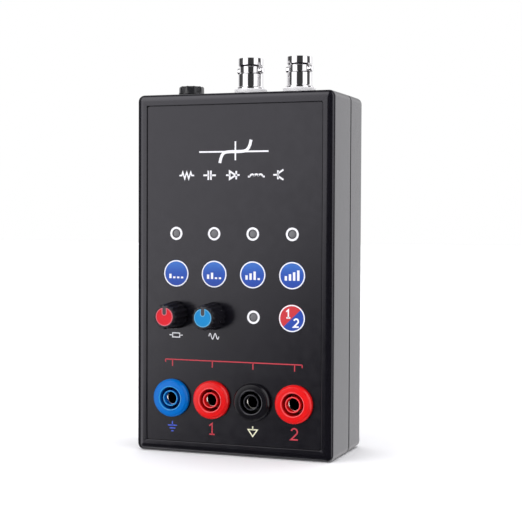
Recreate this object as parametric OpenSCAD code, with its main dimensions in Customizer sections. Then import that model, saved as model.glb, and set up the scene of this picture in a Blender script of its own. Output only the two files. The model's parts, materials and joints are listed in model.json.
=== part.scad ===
// Handheld component tester: a two-part plastic case with a recessed control panel,
// four safety banana sockets on the front, and two BNC outlets and a power jack on top.
// Frame: +Z up, X to the right, the control panel faces -Y, origin at the centre of the base.

/* [Case] */
// Width of the case
body_w = 81; // [79:0.5:84]
// Depth of the case, front rim to rear face
body_d = 40; // [39:0.5:44]
// Height of the case without the connectors
body_h = 140; // [139:0.5:146]
// Wall thickness of both shells
wall = 2.2; // [2.0:0.1:2.4]
// Depth of the front shell, up to the seam
front_depth = 22; // [21.6:0.2:24]
// Radius of the four long edges that run front to back
corner_r = 2.6; // [2:0.1:3]
// Radius of the edge around the front face
front_edge_r = 2; // [1:0.1:2.4]
// Radius of the edge around the rear face
rear_edge_r = 2.5; // [1:0.1:2.5]

/* [Control panel] */
// Width of the rim around the recessed panel
rim_w = 4.3; // [3.8:0.1:4.6]
// Depth of the panel recess below the rim
recess_depth = 0.9; // [0.7:0.1:1.2]
// Thickness of the printed panel sheet
overlay_t = 0.5; // [0.3:0.1:0.6]
// Spacing of the four control columns
column_pitch = 15.9; // [15.5:0.1:16.5]
// Height of the row of indicator lights
led_z = 85.8; // [84:0.1:90]
// Height of the row of range keys
key_z = 70.2; // [68:0.1:72]
// Height of the row of knobs
control_z = 54; // [52:0.1:56]
// Diameter of a key
key_d = 10.5; // [9:0.1:11]
// Travel of a key
key_travel = 0.3; // [0.2:0.05:0.4]

/* [Knobs] */
// Height of a knob above the panel sheet
knob_h = 11.5; // [11:0.1:13]
// Diameter of a knob at its foot, over the ribs
knob_foot_d = 11; // [10:0.1:12]
// Diameter of a knob at its top, over the ribs
knob_top_d = 9.6; // [9.2:0.1:10]
// Diameter of the coloured cap
cap_d = 7; // [6.8:0.1:7.4]
// Number of grip ribs on a knob
rib_count = 15; // [12:1:18]

/* [Banana sockets] */
// Spacing of the sockets
socket_pitch = 16.8; // [16.6:0.1:17.2]
// Height of the row of sockets
socket_z = 21.5; // [20:0.1:24]
// Diameter of a socket's front flange
flange_d = 14.9; // [14:0.1:15.2]
// Height of the flange above the panel sheet
flange_h = 2.6; // [2:0.1:3]
// Diameter of the hole that takes the plug
plug_d = 4.04; // [4.02:0.01:4.1]

/* [Top connectors] */
// Distance from the case's middle to the connectors' line, towards the front
connector_front = 8.4; // [8:0.1:9]
// Position of the left BNC outlet across the case
bnc_left_x = 3; // [2:0.5:4]
// Position of the right BNC outlet across the case
bnc_right_x = 23; // [22:0.5:23.5]
// Outer diameter of a BNC barrel
bnc_d = 9.6; // [9.5:0.05:9.7]
// Height of a BNC outlet above the case
bnc_h = 13.8; // [13.5:0.1:15]
// Diameter of the insulating washer under a BNC outlet
bnc_washer_d = 12.6; // [12:0.1:13]
// Position of the power jack across the case
jack_x = -22; // [-24:0.5:-20]
// Diameter of the power jack's fluted nut
jack_nut_d = 10.2; // [9.8:0.1:11]

/* [Hidden] */
$fn = 64;
clear = 0.05;                               // running clearance between moving pieces
slip = 0.02;                                // clearance of a pushed-on fit
rim_f = body_d / 2;                         // distances in front of the case's middle: the rim,
floor_f = rim_f - recess_depth;             // the recess floor,
sheet_f = floor_f + overlay_t;              // the panel sheet's face,
panel_wall = 2.3;
inner_f = floor_f - panel_wall;             // the inside of the front wall,
board_f = 9.6;                              // and the board's front face
board_t = 1.6;
board_w = 68;
board_low = 31;
board_high = 118.5;
back_f = board_f - board_t;                 // the board's rear face
seam_f = rim_f - front_depth;               // the seam
rear_f = -body_d / 2;                       // the rear face

columns = [for (i = [0:3]) (i - 1.5) * column_pitch + 0.3];
sockets = [for (i = [0:3]) (i - 1.5) * socket_pitch + 0.15];
keys = [for (i = [0:3]) [columns[i], key_z], [columns[3], control_z]];
leds = [for (i = [0:3]) [columns[i], led_z], [columns[2] + 0.4, control_z]];
red_x = columns[0];
blue_x = columns[1];

post_r = 3.7;                               // screw posts in the case's corners
post_x = body_w / 2 - wall - post_r + 0.1;
posts = [for (x = [-post_x, post_x], z = [body_w / 2 - post_x, body_h - body_w / 2 + post_x]) [x, z]];
case_screw_r = 1.45;
case_screw_len = 15;
head_seat_f = -12;                          // where the case screws' heads seat
pillar_r = 3;                               // pillars that carry the board
pillars = [for (x = [-30, 30], z = [35, 114.5]) [x, z]];
board_screw_r = 1.1;

shadow_gap = 0.35;                          // step around the seam
tongue_t = 0.95;                            // lip of the rear shell, inside the front shell
tongue_l = 1.2;

led_r = 1.5;
led_tip_f = sheet_f - 0.1;
led_len = 5.2;
led_base_f = led_tip_f - led_len;
lead_pitch = 1.27;                          // half the distance between two leads
lead_w = 0.5;
key_well = 0.6;                             // depth of the well under a key
plunger_r = 1.75;
switch_w = 6;
switch_h = 3.5;
cover_t = 0.3;

shaft_r = 3;
housing_w = 9.8;
housing_l = 11;
housing_h = 6.4;
collar_r = 3.5;
collar_h = 1.6;
knob_gap = 0.7;
knob_foot_f = sheet_f + knob_gap;
knob_top_f = sheet_f + knob_h;
cap_proud = 0.7;
cap_t = 2.2;
rib_h = 0.6;
rib_w = 0.9;
pointer_w = 1.3;

barrel_r = 5.9;                             // the sockets' threaded barrel
groove_r = 4.35;                            // the ring groove that takes a shrouded plug
tube_r = 3.05;
tube_bore_r = 2.6;                          // the tube in front of the metal contact
groove_floor_f = 12;
contact_r = 2.45;
contact_front_f = sheet_f - 0.2;
contact_floor_f = 4;
barrel_end_f = 3.5;
stud_r = 1.5;
stud_end_f = -2.5;
nut_af = 14;
nut_t = 2.8;
tag_t = 0.5;

top_wall_z = -wall;                         // the top wall's inside, below the case's top
washer_h = 1.9;
bnc_foot_r = 5.3;                             // the foot of a BNC barrel
neck_r = 4.4;
neck_end = -13;
bnc_bore_r = 4.06;
bnc_bore_floor = 5;
insulator_r = 2.5;
lug_z = bnc_h - 4.6;                        // the two bayonet lugs, and how far round they stand
lug_reach = 5.6;
lug_turn = -10;
bnc_tail = neck_end - 2.5;                  // the contact's solder end
bnc_pin_r = 1.1;
nose_r = 2.4;                               // the insulator inside the barrel
tag_drop = 8;                               // length of a ground tag's bent leg
tag_reach = 8.6;
jack_thread_r = 3.95;
jack_bore_r = 2.85;
jack_washer_h = 0.5;
jack_nut_h = 3.3;
jack_top = jack_washer_h + jack_nut_h - 0.5;
jack_end = -12;
jack_floor = jack_end + 2.5;
jack_tail = jack_end - 3;
jack_tail_r = 0.8;
jack_pin_r = 1.05;

wire_r = 0.65;
wire_rings = 18;
lead_z = 111;                               // where the top connectors' leads meet the board

// ---------------------------------------------------------------- helpers

// Local Z runs out of the front of the case, from its middle plane.
module on_front(at) { translate([at[0], 0, at[1]]) rotate([90, 0, 0]) children(); }

// Local Z runs up from the case's top face, on the connectors' line.
module on_top(x) { translate([x, -connector_front, body_h]) children(); }

// A plain cylinder from height a to height b.
module rod(r, a, b) { translate([0, 0, a]) cylinder(r = r, h = b - a); }

// A block with a square foot of w by l, from height a to height b.
module block(w, l, a, b) { translate([-w / 2, -l / 2, a]) cube([w, l, b - a]); }

// A hexagonal nut with a round hole.
module hex_nut(af, hole_r, a, b) {
    difference() {
        translate([0, 0, a]) cylinder(r = af / sqrt(3), h = b - a, $fn = 6);
        rod(hole_r, a - 1, b + 1);
    }
}

// A turned piece from an outline of [radius, height] points.
module turned(points) { rotate_extrude() polygon(points); }

// Points on an arc about c, from angle a to angle b.
function arc(c, r, a, b, n = 6) =
    [for (i = [0:n]) c + r * [cos(a + (b - a) * i / n), sin(a + (b - a) * i / n)]];

// A rectangle of w by h about the origin, with its corners rounded to r.
module rounded_rect(w, h, r) {
    square([w - 2 * r, h], center = true);
    square([w, h - 2 * r], center = true);
    for (x = [-1, 1], y = [-1, 1]) translate([x * (w / 2 - r), y * (h / 2 - r)]) circle(r);
}

// The case's outline seen from the front, shrunk by inset, between two distances from its middle.
module case_slab(inset, a, b) {
    on_front([0, body_h / 2]) translate([0, 0, a]) linear_extrude(b - a)
        rounded_rect(body_w - 2 * inset, body_h - 2 * inset, max(corner_r - inset, 0.8));
}

// A side profile of length l: square at the seam and rounded by r at its outer face.
module rounded_end(l, depth, r) {
    polygon(concat([[-l / 2, 0]], arc([-l / 2 + r, depth - r], r, 180, 90),
        arc([l / 2 - r, depth - r], r, 90, 0), [[l / 2, 0]]));
}

// A solid half of the case, from the seam outwards, with a rounded outer edge.
module half_case(depth, r) {
    intersection() {
        linear_extrude(depth) rounded_rect(body_w, body_h, corner_r);
        rotate([90, 0, 0]) linear_extrude(body_h, center = true) rounded_end(body_w, depth, r);
        rotate([90, 0, 90]) linear_extrude(body_w, center = true) rounded_end(body_h, depth, r);
    }
}

// A point on a cubic curve.
function curve(p, t) = pow(1 - t, 3) * p[0] + 3 * pow(1 - t, 2) * t * p[1]
    + 3 * (1 - t) * t * t * p[2] + t * t * t * p[3];
function unit(v) = v / norm(v);

// A round wire that follows a cubic curve; ref is any direction across it.
module wire(p, r = wire_r, ref = [1, 0, 0], sides = 8) {
    at = [for (i = [0:wire_rings]) curve(p, i / wire_rings)];
    along = [for (i = [0:wire_rings])
        unit(at[min(i + 1, wire_rings)] - at[max(i - 1, 0)])];
    ring = [for (i = [0:wire_rings])
        let (u = unit(cross(along[i], ref)), v = cross(along[i], u))
        for (j = [0:sides - 1]) at[i] + r * (u * cos(360 * j / sides) + v * sin(360 * j / sides))];
    polyhedron(ring, concat(
        [[for (j = [0:sides - 1]) j]],
        [for (i = [0:wire_rings - 1], j = [0:sides - 1])
            let (k = (j + 1) % sides) [i * sides + j, (i + 1) * sides + j, (i + 1) * sides + k, i * sides + k]],
        [[for (j = [sides - 1:-1:0]) wire_rings * sides + j]]));
}

// ---------------------------------------------------------------- case

module front_shell() {
    color([0.09, 0.09, 0.1]) difference() {
        union() {
            difference() {
                on_front([0, body_h / 2]) translate([0, 0, seam_f]) half_case(front_depth, front_edge_r);
                case_slab(wall, seam_f - 1, inner_f);
                case_slab(rim_w, floor_f, rim_f + 1);
            }
            for (p = posts) on_front(p) rod(post_r, seam_f, inner_f + 0.5);
            for (p = pillars) on_front(p) rod(pillar_r, board_f, inner_f + 0.5);
        }
        case_slab(wall - tongue_t - clear, seam_f - 1, seam_f + tongue_l + clear);
        for (p = posts) on_front(p) rod(case_screw_r + clear, seam_f - 1, seam_f + 9);
        for (p = pillars) on_front(p) rod(board_screw_r + clear, board_f - 1, board_f + 6);
        for (p = leds) on_front(p) rod(led_r + 0.1, inner_f - 1, rim_f);
        for (p = keys) on_front(p) {
            rod(key_d / 2 + 0.2, floor_f - key_well, rim_f);
            rod(plunger_r + 0.5, inner_f - 1, rim_f);
        }
        for (x = [red_x, blue_x]) on_front([x, control_z]) rod(collar_r + 0.3, inner_f - 1, rim_f);
        for (x = sockets) on_front([x, socket_z]) rod(barrel_r + 0.1, inner_f - 1, rim_f);
        for (x = [bnc_left_x, bnc_right_x]) on_top(x) rod(neck_r + 1.2, top_wall_z - 1, 1);
        on_top(jack_x) rod(jack_thread_r + 0.1, top_wall_z - 1, 1);
    }
}

module rear_shell() {
    rear_depth = body_d - front_depth;
    color([0.09, 0.09, 0.1]) difference() {
        union() {
            difference() {
                translate([0, -seam_f, body_h / 2]) rotate([-90, 0, 0]) half_case(rear_depth, rear_edge_r);
                case_slab(wall, rear_f + wall, seam_f + 1);
                difference() {
                    case_slab(-1, seam_f - shadow_gap, seam_f + 1);
                    case_slab(shadow_gap, seam_f - shadow_gap - 1, seam_f + 2);
                }
            }
            difference() {
                case_slab(wall - tongue_t, seam_f - 1, seam_f + tongue_l);
                case_slab(wall, seam_f - 2, seam_f + tongue_l + 1);
            }
            for (p = posts) on_front(p) rod(post_r, rear_f + wall - 0.5, seam_f);
        }
        for (p = posts) on_front(p) {
            rod(case_screw_r + 0.2, rear_f, seam_f + 1);
            rod(2.9, rear_f - 1, head_seat_f);
            difference() {
                rod(post_r + 1.5, seam_f, seam_f + tongue_l + 1);
                rod(post_r - 2, seam_f - 1, seam_f + tongue_l + 2);
            }
        }
    }
}

module panel_overlay() {
    gap = 0.3;
    color([0.13, 0.13, 0.14]) difference() {
        case_slab(rim_w + gap, floor_f, sheet_f);
        for (p = leds) on_front(p) rod(led_r + 0.25, floor_f - 1, rim_f);
        for (p = keys) on_front(p) rod(key_d / 2 + 0.08, floor_f - 1, rim_f);
        for (x = [red_x, blue_x]) on_front([x, control_z]) rod(collar_r + 0.3, floor_f - 1, rim_f);
        for (x = sockets) on_front([x, socket_z]) rod(barrel_r + 0.1, floor_f - 1, rim_f);
    }
}

module case_screws() {
    head_r = 2.7;
    head_t = 1.9;
    color([0.7, 0.7, 0.72]) for (p = posts) on_front(p) difference() {
        union() {
            rod(case_screw_r, head_seat_f, head_seat_f + case_screw_len);
            turned([[0, head_seat_f], [head_r, head_seat_f], [head_r, head_seat_f - 1],
                [head_r - 0.7, head_seat_f - head_t], [0, head_seat_f - head_t]]);
        }
        for (a = [0, 90]) rotate(a) block(3, 0.7, head_seat_f - head_t - 1, head_seat_f - 0.7);
    }
}

// ---------------------------------------------------------------- indicators and keys

module led(i) {
    color([0.55, 0.56, 0.55]) on_front(leds[i]) {
        turned(concat([[0, led_base_f], [led_r + 0.4, led_base_f], [led_r + 0.4, led_base_f + 1],
            [led_r, led_base_f + 1]], arc([0, led_tip_f - led_r], led_r, 0, 90)));
        for (x = [-lead_pitch, lead_pitch]) translate([x, 0, 0])
            block(lead_w, lead_w, back_f - 1, led_base_f);
    }
}

// The part of the panel sheet that is pressed, as a disc of its own.
module key(i) {
    r = key_d / 2;
    color(i < 4 ? [0.16, 0.33, 0.8] : [0.85, 0.2, 0.22]) on_front(keys[i])
        turned([[0, floor_f], [r, floor_f], [r, sheet_f - 0.1], [r - 0.1, sheet_f], [0, sheet_f]]);
}

module plunger(i) {
    color([0.15, 0.15, 0.15]) on_front(keys[i])
        rod(plunger_r, board_f + 1 + 2 * key_travel, floor_f);
}

module switch_bases() {
    color([0.1, 0.1, 0.1]) for (p = keys) on_front(p) difference() {
        block(switch_w, switch_w, board_f, board_f + switch_h - cover_t);
        rod(plunger_r + 0.15, board_f + 1, board_f + switch_h);
    }
}

module switch_covers() {
    color([0.8, 0.8, 0.8]) for (p = keys) on_front(p) difference() {
        block(switch_w, switch_w, board_f + switch_h - cover_t, board_f + switch_h);
        rod(plunger_r + clear, board_f, board_f + switch_h + 1);
    }
}

// ---------------------------------------------------------------- knobs

module knob(x) {
    foot_r = knob_foot_d / 2 - rib_h;
    top_r = knob_top_d / 2 - rib_h;
    top_f = knob_top_f - cap_proud;
    color([0.07, 0.07, 0.08]) on_front([x, control_z]) {
        difference() {
            union() {
                turned([[0, knob_foot_f], [foot_r, knob_foot_f], [top_r, top_f - 0.3],
                    [top_r - 0.3, top_f], [0, top_f]]);
                for (i = [0:rib_count - 1]) rotate(i * 360 / rib_count)
                    rotate([90, 0, 0]) linear_extrude(rib_w, center = true)
                        polygon([[3.5, knob_foot_f + 0.2], [foot_r + rib_h - 0.2, knob_foot_f + 0.2],
                            [foot_r + rib_h, knob_foot_f + 0.5], [top_r + rib_h, top_f - 0.8],
                            [top_r, top_f - 0.2], [3.5, top_f - 0.2]]);
            }
            rod(shaft_r + slip, knob_foot_f - 1, knob_top_f - cap_t - 0.8);
            rod(cap_d / 2 + slip, knob_top_f - cap_t, knob_top_f);
        }
        translate([-pointer_w / 2, 1.7, knob_top_f - cap_t - 0.1])
            cube([pointer_w, cap_d / 2 - 1.7 + 0.3, cap_t]);
    }
}

module knob_cap(x, tint) {
    r = cap_d / 2;
    color(tint) on_front([x, control_z]) difference() {
        turned([[0, knob_top_f - cap_t], [r, knob_top_f - cap_t], [r, knob_top_f - 0.35],
            [r - 0.35, knob_top_f], [0, knob_top_f]]);
        translate([-pointer_w / 2 - slip, 1.7 - slip, knob_top_f - cap_t - 1])
            cube([pointer_w + 2 * slip, r, cap_t + 2]);
    }
}

module pot_shaft(x) {
    color([0.85, 0.85, 0.85]) on_front([x, control_z]) difference() {
        rod(shaft_r, board_f + 0.8, knob_top_f - cap_t - 1);
        block(1, 8, knob_top_f - cap_t - 6, knob_top_f);
    }
}

module pot_housing(x) {
    color([0.15, 0.3, 0.22]) on_front([x, control_z]) difference() {
        union() {
            block(housing_w, housing_l, board_f, board_f + housing_h);
            rod(collar_r, board_f + housing_h - 0.2, board_f + housing_h + collar_h);
        }
        rod(shaft_r + clear, board_f + 0.6, board_f + housing_h + collar_h + 1);
    }
}

// ---------------------------------------------------------------- banana sockets

module socket(i, tint) {
    r = flange_d / 2;
    face_f = sheet_f + flange_h;
    color(tint) on_front([sockets[i], socket_z])
        turned(concat(
            [[contact_r + slip, barrel_end_f], [barrel_r, barrel_end_f], [barrel_r, sheet_f], [r, sheet_f]],
            arc([r - 1.1, face_f - 1.1], 1.1, 0, 90),
            [[groove_r + 1.1, face_f], [groove_r, face_f - 0.7], [groove_r, groove_floor_f],
            [tube_r, groove_floor_f], [tube_r, face_f - 0.5], [tube_r - 0.15, face_f - 0.35],
            [tube_bore_r, face_f - 0.35], [tube_bore_r, contact_front_f],
            [contact_r + slip, contact_front_f]]));
}

module contact(i) {
    color([0.8, 0.79, 0.74]) on_front([sockets[i], socket_z])
        turned([[0, stud_end_f], [stud_r, stud_end_f], [stud_r, barrel_end_f - 1], [contact_r, barrel_end_f - 1],
            [contact_r, contact_front_f], [plug_d / 2 + 0.15, contact_front_f],
            [plug_d / 2, contact_front_f - 0.3], [plug_d / 2, contact_floor_f], [0, contact_floor_f]]);
}

module socket_nuts() {
    color([0.12, 0.12, 0.12]) for (x = sockets) on_front([x, socket_z])
        hex_nut(nut_af, barrel_r + clear, inner_f - nut_t, inner_f);
}

module socket_tags() {
    end_f = barrel_end_f - 1;
    color([0.8, 0.8, 0.8]) for (x = sockets) on_front([x, socket_z]) difference() {
        union() {
            rod(2.6, end_f - tag_t, end_f);
            translate([-0.9, 0, end_f - tag_t]) cube([1.8, 7.5, tag_t]);
        }
        rod(stud_r + clear, end_f - 1, end_f + 1);
    }
}

// ---------------------------------------------------------------- BNC outlets

module bnc_body(x) {
    r = bnc_d / 2;
    waist_r = r - 0.4;
    foot = washer_h + 0.7;
    color([0.85, 0.85, 0.86]) on_top(x) {
        turned([[bnc_bore_r, bnc_bore_floor], [bnc_bore_r, bnc_h - 0.2], [bnc_bore_r + 0.2, bnc_h],
            [r - 0.25, bnc_h], [r, bnc_h - 0.25], [r, lug_z + 1.4], [waist_r, lug_z + 1.4],
            [waist_r, lug_z - 1.2], [r, lug_z - 1.2], [r, foot + 0.4], [bnc_foot_r, foot],
            [bnc_foot_r, washer_h], [neck_r, washer_h], [neck_r, neck_end], [insulator_r, neck_end],
            [insulator_r, bnc_bore_floor]]);
        intersection() {
            translate([0, 0, lug_z]) rotate([0, 90, lug_turn]) cylinder(r = 1, h = 2 * lug_reach, center = true);
            difference() {
                rod(lug_reach - 0.1, lug_z - 2, lug_z + 2);
                rod(bnc_bore_r + 0.2, lug_z - 3, lug_z + 3);
            }
        }
    }
}

module bnc_washer(x) {
    color([0.93, 0.93, 0.95]) on_top(x)
        turned([[neck_r + clear, top_wall_z + 0.1], [neck_r + 1.1, top_wall_z + 0.1], [neck_r + 1.1, 0],
            [bnc_washer_d / 2, 0], [bnc_washer_d / 2, washer_h - 0.4], [bnc_washer_d / 2 - 0.4, washer_h],
            [neck_r + clear, washer_h]]);
}

module bnc_insulators() {
    color([0.95, 0.95, 0.93]) for (x = [bnc_left_x, bnc_right_x]) on_top(x)
        turned([[bnc_pin_r + slip, neck_end + 1], [insulator_r - slip, neck_end + 1],
            [insulator_r - slip, bnc_bore_floor], [bnc_bore_r - slip, bnc_bore_floor],
            [bnc_bore_r - slip, bnc_bore_floor + 1], [nose_r, bnc_bore_floor + 1],
            [nose_r, bnc_h - 0.6], [bnc_pin_r + slip, bnc_h - 0.6]]);
}

module bnc_contacts() {
    color([0.83, 0.68, 0.35]) for (x = [bnc_left_x, bnc_right_x]) on_top(x) difference() {
        rod(bnc_pin_r, bnc_tail, bnc_h - 0.8);
        rod(0.68, bnc_h - 6, bnc_h);
        rod(0.7, bnc_tail - 1, bnc_tail + 1.5);
    }
}

module bnc_nuts() {
    color([0.8, 0.8, 0.8]) for (x = [bnc_left_x, bnc_right_x]) on_top(x)
        hex_nut(12, neck_r + clear, top_wall_z - tag_t - 2.4, top_wall_z - tag_t);
}

module bnc_ground_tags() {
    color([0.8, 0.8, 0.8]) for (x = [bnc_left_x, bnc_right_x]) on_top(x) difference() {
        union() {
            rod(6.2, top_wall_z - tag_t, top_wall_z);
            translate([-1.5, 5, top_wall_z - tag_t]) cube([3, tag_reach - 5, tag_t]);
            translate([-1.5, tag_reach - tag_t, top_wall_z - tag_drop]) cube([3, tag_t, tag_drop]);
        }
        rod(neck_r + clear, top_wall_z - 1, top_wall_z + 1);
    }
}

// ---------------------------------------------------------------- power jack

module power_jack_body() {
    color([0.08, 0.08, 0.08]) on_top(jack_x) difference() {
        union() {
            rod(jack_thread_r, top_wall_z - 0.5, jack_top);
            rod(5.4, top_wall_z - 2.2, top_wall_z);
            block(8.4, 8.4, jack_end, top_wall_z - 1);
        }
        turned([[0, jack_floor], [jack_bore_r, jack_floor], [jack_bore_r, jack_top - 0.4],
            [jack_bore_r + 0.5, jack_top + 0.1], [0, jack_top + 0.1]]);
        rod(jack_tail_r + slip, jack_end - 1, jack_floor + 1);
    }
}

module power_jack_nut() {
    top = jack_washer_h + jack_nut_h;
    r = jack_nut_d / 2;
    color([0.08, 0.08, 0.08]) on_top(jack_x) difference() {
        turned([[jack_thread_r + clear, jack_washer_h], [r - 0.2, jack_washer_h], [r, jack_washer_h + 0.2],
            [r, top - 0.8], [r - 0.6, top], [jack_thread_r + clear, top]]);
        for (i = [0:7]) rotate(22.5 + i * 45) translate([r + 1.05, 0, jack_washer_h + 0.8])
            cylinder(r = 1.6, h = jack_nut_h);
    }
}

module power_jack_washer() {
    color([0.86, 0.86, 0.88]) on_top(jack_x) difference() {
        rod(jack_nut_d / 2 - 0.1, 0, jack_washer_h);
        rod(jack_thread_r + clear, -1, jack_washer_h + 1);
    }
}

module power_jack_pin() {
    color([0.8, 0.8, 0.78]) on_top(jack_x)
        turned([[0, jack_tail], [jack_tail_r, jack_tail], [jack_tail_r, jack_floor], [jack_pin_r, jack_floor],
            [jack_pin_r, jack_top - 1.6], [jack_pin_r - 0.4, jack_top - 1], [0, jack_top - 1]]);
}

// ---------------------------------------------------------------- board

module main_board() {
    middle = (board_low + board_high) / 2;
    color([0.08, 0.32, 0.17]) difference() {
        on_front([0, middle]) translate([0, 0, back_f]) linear_extrude(board_t)
            rounded_rect(board_w, board_high - board_low, 1.5);
        for (p = pillars) on_front(p) rod(board_screw_r + 0.2, back_f - 1, board_f + 1);
        for (p = leds, x = [-lead_pitch, lead_pitch]) on_front(p + [x, 0]) rod(0.42, back_f - 1, board_f + 1);
    }
}

module board_screws() {
    color([0.75, 0.75, 0.77]) for (p = pillars) on_front(p) difference() {
        union() {
            rod(board_screw_r, back_f, board_f + 5);
            rod(2.1, back_f - 1.5, back_f);
        }
        for (a = [0, 90]) rotate(a) block(2.4, 0.5, back_f - 2, back_f - 0.7);
    }
}

// Signal relays on the rear of the board.
module relays() {
    color([0.88, 0.87, 0.82]) for (x = [-22, -7.5, 7.5, 22]) on_front([x, 44]) block(9, 14, back_f - 5, back_f);
}

// One flat chip with a row of legs along each long side.
module chip(w, l, legs) {
    pitch = 1.27;
    block(w, l, back_f - 1.8, back_f - 0.2);
    for (i = [0:legs - 1], s = [-1, 1]) translate([s * (w / 2 + 0.5), (i - (legs - 1) / 2) * pitch, 0])
        block(1, 0.45, back_f - 0.7, back_f);
}

module chips() {
    color([0.1, 0.1, 0.1]) {
        on_front([0, 72]) chip(7.5, 12.8, 10);
        on_front([-20, 72]) chip(3.9, 9.9, 7);
        on_front([20, 72]) chip(3.9, 9.9, 7);
        on_front([-12, 100]) chip(3.9, 4.9, 4);
        on_front([12, 100]) chip(3.9, 4.9, 4);
    }
}

module capacitors() {
    color([0.75, 0.75, 0.78]) for (p = [[-26, 95], [-26, 104], [26, 95], [26, 104], [0, 104]]) on_front(p) {
        block(6.6, 6.6, back_f - 0.8, back_f);
        rod(3.15, back_f - 5.4, back_f - 0.8);
    }
}

module chip_resistors() {
    color([0.15, 0.15, 0.16]) for (i = [0:7], z = [60, 84]) on_front([(i - 3.5) * 5, z])
        block(1.25, 2, back_f - 0.5, back_f);
}

// ---------------------------------------------------------------- leads

// From each socket's solder tag up to the board's lower edge.
module socket_leads() {
    y = -(barrel_end_f - 1 - tag_t) + wire_r;
    color([0.75, 0.1, 0.1]) for (x = sockets)
        wire([[x, y, socket_z + 5], [x, y, socket_z + 12], [x, -back_f + 4, board_low + 2.5],
            [x, -back_f, board_low + 2.5]]);
}

// From the BNC outlets' contacts and ground tags down to the board.
module output_leads() {
    tail = body_h + bnc_tail;
    tag = body_h + top_wall_z - tag_drop;
    tag_y = tag_reach - connector_front - tag_t / 2;
    color([0.85, 0.85, 0.82]) for (x = [bnc_left_x, bnc_right_x]) {
        wire([[x, -connector_front, tail], [x, -connector_front, tail - 2],
            [x, -back_f + 8, lead_z + 4], [x, -back_f, lead_z]]);
        wire([[x, tag_y, tag], [x, tag_y, tag - 6],
            [x + 4, -back_f + 6, lead_z], [x + 4, -back_f, lead_z]]);
    }
}

// From the power jack's terminals down to the board.
module power_leads() {
    tail = body_h + jack_tail;
    side = [jack_x + 3.4, -connector_front + 3.4, body_h + jack_end];
    color([0.2, 0.2, 0.2]) {
        wire([[jack_x, -connector_front, tail], [jack_x, -connector_front, tail - 2],
            [jack_x, -back_f + 8, lead_z + 4], [jack_x, -back_f, lead_z]]);
        wire([side, side - [0, 0, 6], [jack_x + 3.4, -back_f + 6, lead_z], [jack_x + 3.4, -back_f, lead_z]]);
    }
}

// ---------------------------------------------------------------- the assembly

red = [0.87, 0.16, 0.17];
blue = [0.05, 0.4, 0.8];
cyan = [0.1, 0.53, 0.83];
black = [0.08, 0.08, 0.09];

front_shell();
rear_shell();
panel_overlay();
case_screws();
led(0);  // led_low
led(1);  // led_medium_1
led(2);  // led_medium_2
led(3);  // led_high
led(4);  // led_channel
key(0);  // key_low
key(1);  // key_medium_1
key(2);  // key_medium_2
key(3);  // key_high
key(4);  // key_channel
plunger(0);  // plunger_low
plunger(1);  // plunger_medium_1
plunger(2);  // plunger_medium_2
plunger(3);  // plunger_high
plunger(4);  // plunger_channel
switch_bases();
switch_covers();
knob(red_x);  // red_knob
knob_cap(red_x, red);  // red_knob_cap
pot_shaft(red_x);  // red_pot_shaft
pot_housing(red_x);  // red_pot_housing
knob(blue_x);  // blue_knob
knob_cap(blue_x, cyan);  // blue_knob_cap
pot_shaft(blue_x);  // blue_pot_shaft
pot_housing(blue_x);  // blue_pot_housing
socket(0, blue);  // ground_socket
socket(1, red);  // channel_1_socket
socket(2, black);  // common_socket
socket(3, red);  // channel_2_socket
contact(0);  // ground_contact
contact(1);  // channel_1_contact
contact(2);  // common_contact
contact(3);  // channel_2_contact
socket_nuts();
socket_tags();
bnc_body(bnc_left_x);  // bnc_left_body
bnc_body(bnc_right_x);  // bnc_right_body
bnc_washer(bnc_left_x);  // bnc_left_washer
bnc_washer(bnc_right_x);  // bnc_right_washer
bnc_insulators();
bnc_contacts();
bnc_nuts();
bnc_ground_tags();
power_jack_body();
power_jack_nut();
power_jack_washer();
power_jack_pin();
main_board();
board_screws();
relays();
chips();
capacitors();
chip_resistors();
socket_leads();
output_leads();
power_leads();
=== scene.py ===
"""The component tester's looks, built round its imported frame.

Lengths in this script are in millimetres, and make() turns them into the frame's metres. A piece on the
control panel is made with its local Z pointing out of the front, and stands at a place (x, z) on the case's
middle plane.
"""
import json
import math

import bmesh
import bpy
from mathutils import Matrix, Vector

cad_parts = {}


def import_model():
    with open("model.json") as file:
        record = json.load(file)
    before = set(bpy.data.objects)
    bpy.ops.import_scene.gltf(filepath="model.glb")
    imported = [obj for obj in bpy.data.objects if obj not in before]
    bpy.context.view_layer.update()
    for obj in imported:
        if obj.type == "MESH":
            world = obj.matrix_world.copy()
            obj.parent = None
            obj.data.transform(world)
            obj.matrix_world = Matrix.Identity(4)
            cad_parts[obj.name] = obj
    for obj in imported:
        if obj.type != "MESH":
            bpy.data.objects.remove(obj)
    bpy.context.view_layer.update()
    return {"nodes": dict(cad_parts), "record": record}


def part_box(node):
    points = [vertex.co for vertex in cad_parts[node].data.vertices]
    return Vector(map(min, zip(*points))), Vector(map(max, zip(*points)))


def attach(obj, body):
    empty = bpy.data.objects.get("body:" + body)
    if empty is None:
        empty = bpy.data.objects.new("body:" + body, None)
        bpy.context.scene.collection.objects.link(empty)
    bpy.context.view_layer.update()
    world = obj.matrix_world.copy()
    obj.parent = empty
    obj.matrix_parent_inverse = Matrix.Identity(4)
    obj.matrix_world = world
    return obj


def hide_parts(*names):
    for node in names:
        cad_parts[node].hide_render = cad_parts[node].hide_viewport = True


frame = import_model()
MM = 0.001
TAU = 2 * math.pi
KEYS = ["low", "medium_1", "medium_2", "high", "channel"]


# ---------------------------------------------------------------- places, read from the frame

def box(node):
    """A CAD node's lowest and highest corner, in millimetres."""
    return tuple(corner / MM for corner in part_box(node))


def middle(node):
    low, high = box(node)
    return (low + high) / 2


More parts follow.
